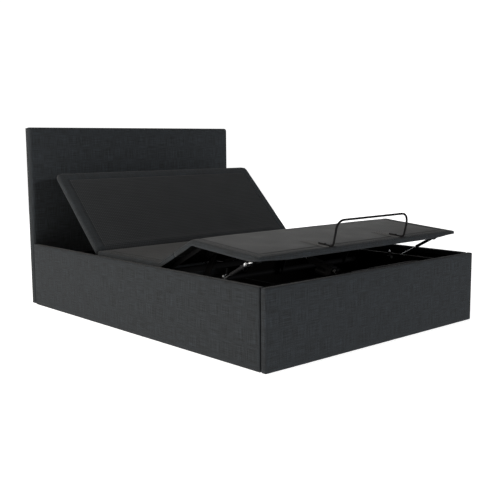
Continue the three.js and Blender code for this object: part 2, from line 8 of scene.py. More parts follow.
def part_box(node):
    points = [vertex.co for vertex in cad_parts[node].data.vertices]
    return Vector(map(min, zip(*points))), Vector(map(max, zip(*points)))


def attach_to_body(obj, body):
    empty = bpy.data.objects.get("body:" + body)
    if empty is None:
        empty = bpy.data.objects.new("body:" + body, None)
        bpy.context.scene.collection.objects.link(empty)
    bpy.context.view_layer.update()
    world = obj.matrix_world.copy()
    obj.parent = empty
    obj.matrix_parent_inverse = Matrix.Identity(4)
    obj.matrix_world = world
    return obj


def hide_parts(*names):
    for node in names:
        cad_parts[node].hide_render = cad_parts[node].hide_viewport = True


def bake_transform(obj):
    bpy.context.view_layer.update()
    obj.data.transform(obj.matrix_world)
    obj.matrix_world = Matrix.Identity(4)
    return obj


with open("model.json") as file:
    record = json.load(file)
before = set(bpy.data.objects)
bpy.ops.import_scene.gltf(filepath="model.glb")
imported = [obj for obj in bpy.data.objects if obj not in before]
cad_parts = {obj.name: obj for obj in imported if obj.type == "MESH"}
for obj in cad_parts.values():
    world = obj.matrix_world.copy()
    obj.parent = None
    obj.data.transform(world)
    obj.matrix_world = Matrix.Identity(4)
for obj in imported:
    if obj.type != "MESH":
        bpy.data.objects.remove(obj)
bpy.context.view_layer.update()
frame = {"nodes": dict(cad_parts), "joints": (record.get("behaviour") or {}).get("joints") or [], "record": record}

# ---------------------------------------------------------------- the bed's frame, in metres
MM = 0.001
SIDES = (("left", -1), ("right", 1))
JOINTS = {joint["name"]: joint for joint in frame["joints"]}
HEAD_AXIS = np.array(JOINTS["head_lift"]["pos_m"])
THIGH_AXIS = np.array(JOINTS["thigh_lift"]["pos_m"])
HEAD_TILT = math.radians(-JOINTS["head_lift"]["range_deg"][0])
THIGH_TILT = math.radians(-JOINTS["thigh_lift"]["range_deg"][0])
KNEE_FOLD = math.radians(31.67)
HEAD_LENGTH = 0.630
THIGH_LENGTH = 0.310
LEG_LENGTH = 0.491
KNEE_FLAT = THIGH_AXIS - np.array([0, THIGH_LENGTH, 0])
DECK_Z = HEAD_AXIS[2]
DECK_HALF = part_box("head_pad")[1].x
FRAME_TUBE_X = 0.700
STRUT_PIN_ALONG = 0.378
STRUT_PIN_BELOW = 0.0304


# ---------------------------------------------------------------- small mesh helpers
def add_object(name, points, faces, materials, slots=None, uvs=None, smooth=True):
    mesh = bpy.data.meshes.new(name)
    mesh.from_pydata([tuple(p) for p in points], [], [tuple(f) for f in faces])
    for one in materials:
        mesh.materials.append(one)
    if slots is not None:
        mesh.polygons.foreach_set("material_index", list(slots))
    mesh.polygons.foreach_set("use_smooth", [smooth] * len(mesh.polygons))
    if uvs is not None:
        layer = mesh.uv_layers.new(name="cloth")
        layer.data.foreach_set("uv", np.asarray(uvs, float).ravel())
    mesh.update()
    piece = bpy.data.objects.new(name, mesh)
    bpy.context.scene.collection.objects.link(piece)
    return piece


def grid_faces(across, upward, flipped=False):
    """Quads and their UVs over a grid of points that are listed column by column."""
    faces, uvs = [], []
    rows = len(upward)
    for i in range(len(across) - 1):
        for j in range(rows - 1):
            ring = [(i, j), (i + 1, j), (i + 1, j + 1), (i, j + 1)]
            if flipped:
                ring = [ring[0], *reversed(ring[1:])]
            faces.append([m * rows + n for m, n in ring])
            uvs.extend((across[m], upward[n]) for m, n in ring)
    return faces, uvs


def round_faces(rings, sides):
    """Faces round a closed body of stacked rings, with a cap on each end."""
    faces = []
    for i in range(rings - 1):
        for k in range(sides):
            n = (k + 1) % sides
            faces.append((i * sides + k, i * sides + n, (i + 1) * sides + n, (i + 1) * sides + k))
    faces.append(tuple(reversed(range(sides))))
    faces.append(tuple(range((rings - 1) * sides, rings * sides)))
    return faces


def ring_points(centre, side, up, radius, sides):
    angles = [2 * math.pi * k / sides for k in range(sides)]
    return [centre + radius * (math.cos(angle) * side + math.sin(angle) * up) for angle in angles]


def attach(piece, body):
    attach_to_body(piece, body)


def turn_x(points, pivot, angle):
    """Points turned about an axis along X through pivot; angle may be one for each point."""
    c, s = np.cos(angle), np.sin(angle)
    y = points[:, 1] - pivot[1]
    z = points[:, 2] - pivot[2]
    return np.stack([points[:, 0], pivot[1] + y * c - z * s, pivot[2] + y * s + z * c], axis=1)


def head_rest(points):
    return turn_x(points, HEAD_AXIS, HEAD_TILT)


def thigh_rest(points):
    return turn_x(points, THIGH_AXIS, -THIGH_TILT)


def leg_rest(points):
    return thigh_rest(turn_x(points, KNEE_FLAT, KNEE_FOLD))


BEND_ROUNDS = 40


def smoothstep(t):
    t = np.clip(t, 0, 1)
    return t * t * (3 - 2 * t)


def bend_zone(pivot, heading, half):
    """Start and end of a bend, either side of the pivot along a heading in the Y-Z plane."""
    step = np.array([0, math.cos(heading), math.sin(heading)]) * half
    return pivot - step, pivot + step


def bent(points, pivot, angle, zone, then=None):
    start, end = zone
    along = end - start
    share = np.zeros(len(points))
    for _ in range(BEND_ROUNDS):
        moved = turn_x(points, pivot, share * angle)
        if then is not None:
            moved = then(moved)
        share = smoothstep((moved - start) @ along / (along @ along))
    return moved


def soft_noise(x, y, scale, seed):
    return noise.noise(Vector((x / scale + seed, y / scale - 2.3 * seed, 0.7 * seed)))


# ---------------------------------------------------------------- materials
class Shader:
    """A material's nodes, made by short calls."""

    def __init__(self, name):
        self.material = bpy.data.materials.new(name)
        self.material.use_nodes = True
        self.tree = self.material.node_tree
        self.surface = self.tree.nodes["Principled BSDF"]

    def set(self, **values):
        for key, value in values.items():
            self.surface.inputs[key.replace("_", " ")].default_value = value

    def node(self, kind, settings=None, **inputs):
        made = self.tree.nodes.new(kind)
        for key, value in (settings or {}).items():
            setattr(made, key, value)
        for key, value in inputs.items():
            self.feed(made.inputs[key.replace("_", " ")], value)
        return made

    def feed(self, socket, value):
        if isinstance(value, bpy.types.NodeSocket):
            self.tree.links.new(value, socket)
        else:
            socket.default_value = value

    def cloth_place(self):
        return self.node("ShaderNodeUVMap", {"uv_map": "cloth"}).outputs[0]

    def solid_place(self):
        return self.node("ShaderNodeTexCoord").outputs["Object"]

    def scaled(self, vector, scale):
        return self.node("ShaderNodeMapping", Vector=vector, Scale=scale).outputs[0]

    def noise(self, vector, scale, detail=2.0, roughness=0.5):
        made = self.node("ShaderNodeTexNoise", Vector=self.scaled(vector, scale), Scale=1.0,
                         Detail=detail, Roughness=roughness)
        return made.outputs["Fac"]

    def math(self, operation, a, b=0.0):
        made = self.node("ShaderNodeMath", {"operation": operation})
        self.feed(made.inputs[0], a)
        self.feed(made.inputs[1], b)
        return made.outputs[0]

    def waves(self, value, pitch):
        """A sine between 0 and 1 of the given pitch in metres."""
        turned = self.math("SINE", self.math("MULTIPLY", value, 2 * math.pi / pitch))
        return self.math("ADD", self.math("MULTIPLY", turned, 0.5), 0.5)

    def dotted(self, split, pitch):
        """A square grid of soft dots."""
        return self.math("MULTIPLY", *(self.waves(split.outputs[k], pitch) for k in (0, 1)))

    def mixed(self, parts):
        """A weighted sum of (weight, value) pairs."""
        total = None
        for weight, value in parts:
            part = self.math("MULTIPLY", value, weight)
            total = part if total is None else self.math("ADD", total, part)
        return total

    def ramp(self, value, stops):
        made = self.node("ShaderNodeValToRGB", Fac=value)
        points = made.color_ramp.elements
        while len(points) < len(stops):
            points.new(0.5)
        for point, (place, color) in zip(points, stops):
            point.position = place
            point.color = (*color, 1.0)
        return made.outputs["Color"]

    def spread(self, value, to_low, to_high):
        """The middle of a noise's range stretched over the given one."""
        made = self.node("ShaderNodeMapRange", Value=value)
        for key, number in (("From Min", 0.3), ("From Max", 0.7), ("To Min", to_low),
                            ("To Max", to_high)):
            made.inputs[key].default_value = number
        return made.outputs[0]

    def paint(self, color):
        self.feed(self.surface.inputs["Base Color"], color)

    def rough(self, value):
        self.feed(self.surface.inputs["Roughness"], value)

    def bump(self, height, strength, distance):
        made = self.node("ShaderNodeBump", Height=height, Strength=strength, Distance=distance)
        self.tree.links.new(made.outputs[0], self.surface.inputs["Normal"])


def shade(color, factor):
    return tuple(channel * factor for channel in color)


def tinted(color, factor, warmth):
    """A colour made lighter or darker, and warmer or cooler."""
    red, green, blue = shade(color, factor)
    return red * (1 + warmth), green, blue * (1 - warmth)


STREAK_RATIO = 34
STREAK_SPREAD = 0.17


def woven(name, color, pitch, slub, contrast, sheen):
    """Plain-weave cloth: fine crossing threads, thick and thin yarns both ways, faint mottling."""
    s = Shader(name)
    place = s.cloth_place()
    split = s.node("ShaderNodeSeparateXYZ", Vector=place)
    weave = s.dotted(split, pitch)
    streak = slub * STREAK_RATIO
    across = s.noise(place, (1 / streak, 1 / slub, 1.0), 1.6, 0.5)
    upward = s.noise(place, (1 / slub, 1 / streak, 1.0), 1.6, 0.5)
    hair = s.noise(place, (900.0, 900.0, 1.0), 2.0)
    mottle = s.noise(place, (9.0, 9.0, 1.0), 3.0)
    tone = s.mixed([(0.43, across), (0.43, upward), (0.06, weave), (0.05, hair), (0.03, mottle)])
    s.paint(s.ramp(tone, [
        (0.5 - STREAK_SPREAD, tinted(color, 1 - contrast, 0.16)),
        (0.5, color),
        (0.5 + STREAK_SPREAD, tinted(color, 1 + 1.25 * contrast, -0.06)),
    ]))
    s.bump(s.mixed([(0.45, weave), (0.30, across), (0.30, upward), (0.15, hair)]), 0.55, 0.0009)
    s.set(Roughness=0.92, Sheen_Weight=sheen, Sheen_Roughness=0.45)
    s.set(Specular_IOR_Level=0.2)
    return s.material


DOT_PITCH = 12 * MM
RIB_PITCH = 18 * MM
EMBOSS_PITCH = 3 * MM


def mesh_cloth(name, color):
    """Smooth knitted anti-slip cloth with a grid of small raised dots."""
    s = Shader(name)
    place = s.cloth_place()
    split = s.node("ShaderNodeSeparateXYZ", Vector=place)
    dots = s.dotted(split, DOT_PITCH)
    ribs = s.waves(split.outputs[1], RIB_PITCH)
    mottle = s.noise(place, (7.0, 7.0, 1.0), 4.0)
    fuzz = s.noise(place, (700.0, 700.0, 1.0), 2.0)
    tone = s.mixed([(0.55, dots), (0.06, ribs), (0.24, mottle), (0.15, fuzz)])
    s.paint(s.ramp(tone, [(0.20, shade(color, 0.66)), (0.38, color), (0.7, shade(color, 1.7))]))
    s.bump(s.mixed([(0.8, dots), (0.2, fuzz)]), 0.5, 0.0008)
    s.rough(s.spread(mottle, 0.56, 0.66))
    s.set(Sheen_Weight=0.05, Sheen_Roughness=0.5)
    s.set(Specular_IOR_Level=0.12)
    return s.material


def dust_cloth(name, tone_low, tone_high):
    """Thin black non-woven cloth with an embossed point pattern."""
    s = Shader(name)
    place = s.cloth_place()
    split = s.node("ShaderNodeSeparateXYZ", Vector=place)
    points = s.dotted(split, EMBOSS_PITCH)
    fibres = s.noise(place, (260.0, 60.0, 1.0), 4.0, 0.7)
    tone = s.mixed([(0.3, points), (0.7, fibres)])
    s.paint(s.ramp(tone, [(0.2, (tone_low,) * 3), (0.75, (tone_high,) * 3)]))
    s.bump(s.mixed([(0.7, points), (0.3, fibres)]), 0.4, 0.0004)
    s.set(Roughness=0.95, Sheen_Weight=0.0, Specular_IOR_Level=0.05)
    return s.material


def powder_coat(name, color, wear):
    """Satin powder coat with fine orange peel and slightly rubbed tones."""
    s = Shader(name)
    place = s.solid_place()
    peel = s.noise(place, (650.0, 650.0, 650.0), 2.0)
    rubbed = s.noise(place, (22.0, 22.0, 22.0), 5.0, 0.65)
    s.paint(s.ramp(rubbed, [(0.35, color), (0.62, shade(color, 1.3)),
                            (0.80, tuple(c + wear for c in color))]))
    s.rough(s.spread(rubbed, 0.58, 0.70))
    s.bump(peel, 0.18, 0.0003)
    s.set(Metallic=0.0, Specular_IOR_Level=0.10)
    return s.material


def zinc(name):
    """Zinc-plated steel: cool, faintly clouded, finely brushed."""
    s = Shader(name)
    place = s.solid_place()
    cloud = s.noise(place, (60.0, 60.0, 60.0), 4.0)
    brushed = s.noise(place, (900.0, 60.0, 900.0), 2.0)
    s.paint(s.ramp(cloud, [(0.3, (0.48, 0.49, 0.50)), (0.7, (0.74, 0.75, 0.76))]))
    s.rough(s.spread(cloud, 0.24, 0.40))
    s.bump(brushed, 0.12, 0.0002)
    s.set(Metallic=1.0)
    return s.material


def ground_steel(name):
    """Ground rod steel with fine turning lines and a thin film of grease."""
    s = Shader(name)
    place = s.solid_place()
    lines = s.noise(place, (1200.0, 1200.0, 1200.0), 2.0)
    film = s.noise(place, (35.0, 35.0, 35.0), 4.0)
    s.paint(s.ramp(film, [(0.3, (0.42, 0.43, 0.45)), (0.7, (0.63, 0.64, 0.65))]))
    s.rough(s.spread(film, 0.18, 0.34))
    s.bump(lines, 0.08, 0.0002)
    s.set(Metallic=1.0)
    return s.material


def moulded_plastic(name, color):
    """Moulded plastic with spark-eroded grain."""
    s = Shader(name)
    place = s.solid_place()
    grain = s.noise(place, (420.0, 420.0, 420.0), 3.0, 0.6)
    tone = s.noise(place, (15.0, 15.0, 15.0), 3.0)
    s.paint(s.ramp(tone, [(0.3, shade(color, 0.85)), (0.7, shade(color, 1.2))]))
    s.rough(s.spread(grain, 0.50, 0.62))
    s.bump(grain, 0.22, 0.0004)
    s.set(Specular_IOR_Level=0.20)
    return s.material


def nylon_plastic(name):
    """Black nylon, polished along the way it slides."""
    s = Shader(name)
    place = s.solid_place()
    cloud = s.noise(place, (70.0, 70.0, 70.0), 3.0)
    scuff = s.noise(place, (30.0, 400.0, 400.0), 3.0)
    s.paint(s.ramp(cloud, [(0.3, (0.022, 0.022, 0.024)), (0.7, (0.036, 0.036, 0.038))]))
    s.rough(s.spread(scuff, 0.35, 0.5))
    s.bump(scuff, 0.1, 0.0002)
    return s.material


def particle_board(name):
    """Board of pressed wood chips, coloured near-black as painted shade, so that board showing at the covers'
    creases reads as the shade there.
    """
    s = Shader(name)
    place = s.solid_place()
    chips = s.node("ShaderNodeTexVoronoi", Vector=s.scaled(place, (90.0, 260.0, 260.0)), Scale=1.0)
    tone = s.node("ShaderNodeSeparateColor", Color=chips.outputs["Color"]).outputs[0]
    grain = s.noise(place, (60.0, 500.0, 500.0), 3.0)
    s.paint(s.ramp(s.mixed([(0.65, tone), (0.35, grain)]), [
        (0.15, (0.010, 0.009, 0.008)), (0.5, (0.016, 0.014, 0.012)), (0.85, (0.026, 0.022, 0.018))]))
    s.bump(s.mixed([(0.5, tone), (0.5, grain)]), 0.3, 0.0005)
    s.set(Roughness=0.82)
    return s.material


LINEN_COLOR = (0.0199, 0.0229, 0.0260)
LINEN = woven("linen", LINEN_COLOR, 0.0013, 0.0026, 0.66, 0.06)
BORDER = woven("linen_border", shade(LINEN_COLOR, 1.07), 0.0013, 0.0030, 0.40, 0.06)
CENTRE = mesh_cloth("deck_cloth", (0.0239, 0.0255, 0.0274))
DUST = dust_cloth("dust_cloth", 0.010, 0.028)
# Near-black dust cloth; its very dark tones are painted shade for the bed's shaded inside: the rail and foot panel
# linings, the joint strips, the bottom cloth and the deck covers' undersides.
DUST_CLOTH_PAINTED_SHADE = dust_cloth("inner_cloth", 0.0018, 0.0055)
PATCH = woven("patch_cloth", (0.0215, 0.0222, 0.0234), 0.0011, 0.0030, 0.25, 0.12)
# Black powder coat for the frame and its fittings, darker than real black paint: painted shade for the bed's dark
# inside.
BLACK_STEEL_AND_PAINTED_SHADE = powder_coat("powder_coat", (0.0028, 0.0028, 0.0031), 0.003)
STRUT_COAT = powder_coat("strut_coat", (0.011, 0.011, 0.012), 0.008)
GLOSS_STEEL = powder_coat("gloss_coat", (0.004, 0.004, 0.0045), 0.004)
ZINC = zinc("zinc")
ROD_STEEL = ground_steel("ground_steel")
BLACK_PLASTIC = moulded_plastic("black_plastic", (0.0045, 0.0045, 0.005))
GREY_PLASTIC = moulded_plastic("grey_plastic", (0.055, 0.057, 0.060))
NYLON = nylon_plastic("nylon_plastic")
BOARD = particle_board("board")


# ---------------------------------------------------------------- upholstered surround
def edge_samples(low, high, radius, spacing):
    """Sample places along one side of a rounded slab, close together at both edges."""
    band = [radius * math.tan(math.radians(a)) for a in (0, 11.25, 22.5, 33.75, 45)]
    steps = max(1, round((high - low - 2 * radius) / spacing))
    middle = np.linspace(low + radius, high - radius, steps + 1)
    first = [low + radius - b for b in reversed(band[1:])]
    last = [high - radius + b for b in band[1:]]
    return np.array([*first, *middle, *last])


SLAB_SPACING = 28 * MM
PANEL_RADIUS = 6.5 * MM
PANEL_PUFF = 1.2 * MM
RAIL_FOOT_GAP = 6.5 * MM
RAIL_HEAD_GAP = 1.0 * MM
HEADBOARD_RADIUS = 19 * MM
HEADBOARD_PUFF = 2.0 * MM
FACING = 0.98
ALONG_ONE_AXIS = 0.99
CLOTH_SHIFT = (0.37, 0.11)
EDGE_WAVE = 0.35 * MM


def upholstered_slab(name, corners, radius, puff, thin_axis, node, seed):
    """A rounded slab of foam and cloth: two broad faces that swell a little, with soft edges."""
    low, high = (np.array(c, float) for c in corners)
    samples = [edge_samples(low[a], high[a], radius, SLAB_SPACING) for a in range(3)]
    points, faces, uvs, index = [], [], [], {}

    def vertex(p):
        key = tuple(np.round(p, 6))
        if key not in index:
            index[key] = len(points)
            points.append(p)
        return index[key]

    for axis in range(3):
        a, b = [k for k in range(3) if k != axis]
        for side, level in ((-1, low[axis]), (1, high[axis])):
            for i in range(len(samples[a]) - 1):
                for j in range(len(samples[b]) - 1):
                    ring = [(i, j), (i + 1, j), (i + 1, j + 1), (i, j + 1)]
                    if (side > 0) == (axis == 1):
                        ring.reverse()
                    face = []
                    for m, n in ring:
                        p = np.zeros(3)
                        p[axis], p[a], p[b] = level, samples[a][m], samples[b][n]
                        face.append(vertex(p))
                        uvs.append((p[a] + CLOTH_SHIFT[0] * axis, p[b] + CLOTH_SHIFT[1] * side))
                    faces.append(face)
    points = np.array(points)
    inner = np.clip(points, low + radius, high - radius)
    outward = points - inner
    outward /= np.linalg.norm(outward, axis=1)[:, None]
    shaped = inner + outward * radius
    broad = [k for k in range(3) if k != thin_axis]
    share = (points - low) / (high - low)
    crown = np.ones(len(points))
    for k in broad:
        crown *= 1 - np.abs(2 * share[:, k] - 1) ** 6
    for i, p in enumerate(shaped):
        if abs(outward[i][thin_axis]) < FACING:
            continue
        u, v = p[broad[0]], p[broad[1]]
        swell = puff * crown[i] + crown[i] * MM * (
            0.7 * soft_noise(u, v, 0.16, seed) + 0.35 * soft_noise(u, v, 0.05, seed + 4))
        p[thin_axis] += math.copysign(swell, outward[i][thin_axis])
    for i, p in enumerate(shaped):
        if abs(outward[i][thin_axis]) < FACING and np.abs(outward[i]).max() < ALONG_ONE_AXIS:
            p += outward[i] * EDGE_WAVE * soft_noise(p[0] + p[1], p[2], 0.035, seed + 9)
    piece = add_object(name, shaped, faces, [LINEN], uvs=uvs)
    attach(piece, "frame")
    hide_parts(node)


def add_surround():
    for seed, node in enumerate(("side_rail_cover_left", "side_rail_cover_right")):
        low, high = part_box(node)
        side = node.rsplit("_", 1)[1]
        low.y += RAIL_FOOT_GAP
        high.y -= RAIL_HEAD_GAP
        upholstered_slab(f"side_rail_upholstery_{side}", (low, high), PANEL_RADIUS, PANEL_PUFF, 0,
                         node, 3.1 + 7 * seed)
    upholstered_slab("foot_panel_upholstery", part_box("foot_panel_cover"), PANEL_RADIUS,
                     PANEL_PUFF, 1, "foot_panel_cover", 21.7)
    upholstered_slab("headboard_upholstery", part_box("headboard_cover"), HEADBOARD_RADIUS,
                     HEADBOARD_PUFF, 1, "headboard_cover", 33.3)


LINING_SPACING = 50 * MM
LINING_GAP = 2.2 * MM
BACK_GAP = 3.0 * MM
LINING_SLACK = 0.8 * MM
HEM = 28 * MM
RAIL_LOWER_HEM = 8 * MM


def lining(name, corners, axis, level, bulge, cloth):
    """A stapled sheet of dust cloth over the open side of a panel, slightly slack."""
    (a0, b0), (a1, b1) = corners
    across = np.linspace(a0, a1, max(4, round((a1 - a0) / LINING_SPACING)))
    upward = np.linspace(b0, b1, max(4, round((b1 - b0) / LINING_SPACING)))
    points = []
    for i, a in enumerate(across):
        for j, b in enumerate(upward):
            s, t = i / (len(across) - 1), j / (len(upward) - 1)
            slack = bulge * (math.sin(math.pi * s) * math.sin(math.pi * t)) ** 0.5
            p = [0.0, 0.0, b]
            p[axis] = level + slack
            p[1 - axis] = a
            points.append(p)
    faces, uvs = grid_faces(across, upward)
    piece = add_object(name, points, faces, [cloth], uvs=uvs)
    attach(piece, "frame")


def add_linings():
    # The rail and foot panel linings take the near-black cloth, painted shade inside the bed; the headboard's back
    # lining takes the plain dust cloth.
    for side, sign in SIDES:
        low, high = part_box(f"side_rail_cover_{side}")
        inner = high.x if sign < 0 else low.x
        corners = (low.y + HEM, low.z + RAIL_LOWER_HEM), (high.y - HEM, high.z - HEM)
        lining(f"side_rail_lining_{side}", corners, 0, inner - sign * LINING_GAP,
               -sign * LINING_SLACK, DUST_CLOTH_PAINTED_SHADE)
    low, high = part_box("foot_panel_cover")
    corners = (low.x + 2 * HEM, low.z + HEM), (high.x - 2 * HEM, high.z - HEM)
    lining("foot_panel_lining", corners, 1, high.y + LINING_GAP, LINING_SLACK,
           DUST_CLOTH_PAINTED_SHADE)
    low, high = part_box("headboard_cover")
    corners = (low.x + HEM, low.z + HEM), (high.x - HEM, high.z - HEM)
    lining("headboard_lining", corners, 1, high.y + BACK_GAP, LINING_SLACK,
           DUST)


def add_joint_strips():
    """Felt that closes the joint between each side rail and the foot panel, near-black as painted shade in the
    gap.
    """
    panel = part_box("foot_panel_cover")[1].y
    side_hem, top_hem, bottom_hem, clearance, depth = (n * MM for n in (9, 9, 12, 0.6, 6))
    for side, _ in SIDES:
        low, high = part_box(f"side_rail_cover_{side}")
        x = (low.x + high.x) / 2
        half = (high.x - low.x) / 2 - side_hem
        corners = [(x + a * half, y, z) for a in (-1, 1)
                   for y in (panel + clearance, low.y + depth)
                   for z in (low.z + bottom_hem, high.z - top_hem)]
        faces = [(0, 1, 3, 2), (4, 6, 7, 5), (0, 4, 5, 1), (2, 3, 7, 6), (0, 2, 6, 4), (1, 5, 7, 3)]
        strip = add_object(f"joint_strip_{side}", corners, faces, [DUST_CLOTH_PAINTED_SHADE], smooth=False,
                           uvs=[(corners[k][0], corners[k][2]) for face in faces for k in face])
        attach(strip, "frame")


def add_bottom_cloth():
    """Cloth stapled across the open underside of the surround: a near-black sheet that stands in for the shade
    under the bed, its darkness painted shade.
    """
    overlap, head_overlap, clearance, slack = (n * MM for n in (2, 9, 3.5, 1.5))
    inner_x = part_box("side_rail_cover_right")[0].x + overlap
    y0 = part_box("foot_panel_cover")[1].y - overlap
    y1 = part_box("headboard_cover")[0].y + head_overlap
    xs = np.linspace(-inner_x, inner_x, 24)
    ys = np.linspace(y0, y1, 30)
    points = [(x, y, clearance + slack * soft_noise(x, y, 0.2, 8.8)) for x in xs for y in ys]
    faces, uvs = grid_faces(xs, ys)
    piece = add_object("bottom_cloth", points, faces, [DUST_CLOTH_PAINTED_SHADE], uvs=uvs)
    attach(piece, "frame")


# ---------------------------------------------------------------- deck covers
FREE_CORNER = {-1: 0.014, 1: 0.026}
HINGE_CORNER = 4 * MM
COVER_TOP = 0.0220
COVER_BOTTOM = -0.0083
BORDER_WIDTH = 0.058
SHOULDER = 0.017
SPACING_X = 0.034
SPACING_Y = 0.014
RIDGE_AT = 4 * MM
RIDGE_WIDTH = 15 * MM
SEAM_STEPS = (1.2 * MM, 3.2 * MM, 6 * MM, 10 * MM, 16 * MM)
SEAM_CLEAR = 19 * MM


def edge_profile(shoulder, drop_down, bottom_radius, seam):
    """(inset, height) points down an edge: rounded top, a sewn line below it, rounded bottom."""
    points = []
    for k in range(8):
        angle = math.pi / 2 * k / 7
        points.append((shoulder * (1 - math.sin(angle)),
                       COVER_TOP - drop_down * (1 - math.cos(angle))))
    base = COVER_TOP - drop_down
    floor = COVER_BOTTOM + bottom_radius
    drops = (0.0008, 0.0018, 0.0028, 0.0046)
    insets = (0.0010, 0.0026, 0.0008, -0.0006)
    bulge, above_floor = 0.0004, 0.0002
    for drop, inset in zip(drops, insets):
        points.append((inset * seam, max(base - drop, floor + above_floor)))
    points.append((-bulge * seam, (base - drops[-1] + floor) / 2))
    for k in range(5):
        angle = math.pi / 2 * k / 4
        points.append((bottom_radius * (1 - math.cos(angle)),
                       floor - bottom_radius * math.sin(angle)))
    return np.array(points)


FREE_EDGE = edge_profile(SHOULDER, drop_down=0.0110, bottom_radius=0.0045, seam=1.0)
FLUSH_EDGE = edge_profile(0.0022, drop_down=0.0022, bottom_radius=0.0015, seam=0.0)
ROLL_EDGE = edge_profile(0.0280, drop_down=0.0190, bottom_radius=0.0045, seam=0.0)


def ladder(low, high, spacing, seams):
    """Sample places from low to high: even steps, with close ones round each seam."""
    near = [side * step for side in (-1, 1) for step in SEAM_STEPS]
    places = set(np.round(np.linspace(low, high, max(2, round((high - low) / spacing)) + 1), 5))
    for seam in seams:
        places = {p for p in places if abs(p - seam) > SEAM_CLEAR or p in (low, high)}
        places |= {round(seam + step, 5) for step in near if low < seam + step < high}
    return np.array(sorted(places))


GROOVE_DEPTH = 2.4 * MM
GROOVE_WIDTH = 3.6 * MM
BORDER_SWELL = 1.6 * MM
CROWN_REACH = 55 * MM
PULL_REACH = 18 * MM
PUCKER_HEIGHT = 0.55 * MM
PUCKER_PITCH = 17 * MM
LONG_WAVE = (0.8 * MM, 0.17)
SHORT_WAVE = (0.35 * MM, 0.055)


def surface_height(x, along_free, half, seed, crown):
    """Height over the flat top: border swell, the seam's groove, and the crowned centre."""
    inside = min(half - abs(x), along_free)
    from_seam = inside - BORDER_WIDTH
    groove = -GROOVE_DEPTH * math.exp(-(from_seam / GROOVE_WIDTH) ** 2)
    if from_seam < 0:
        swell = BORDER_SWELL * math.sin(math.pi * max(0.0, inside) / BORDER_WIDTH)
    else:
        swell = crown * (1 - math.exp(-from_seam / CROWN_REACH))
    pull = math.exp(-abs(from_seam) / PULL_REACH)
    along = x if inside == along_free else along_free
    pucker = PUCKER_HEIGHT * pull * noise.noise(Vector((along / PUCKER_PITCH, seed, 0.2)))
    waves = 0.0
    for (height, length), shift in ((LONG_WAVE, 0), (SHORT_WAVE, 3)):
        waves += height * soft_noise(x, along_free, length, seed + shift)
    return groove + swell + pucker + waves


FAR_AWAY = 10.0


def from_free_end(y, low, high, free_end):
    """How far a place is from the free end, or a great way where there is none."""
    if not free_end:
        return FAR_AWAY
    return (high - y) if free_end > 0 else (y - low)


SIDE_RIM_SHARE = 0.15
END_RIM_SHARE = 0.85
CLOTH_WAVE = 0.0003
TAPER_LENGTH = 0.075
TAPER_START = 0.20
TAPER_SPREAD = 0.17
TAPER_LEAST = 0.1


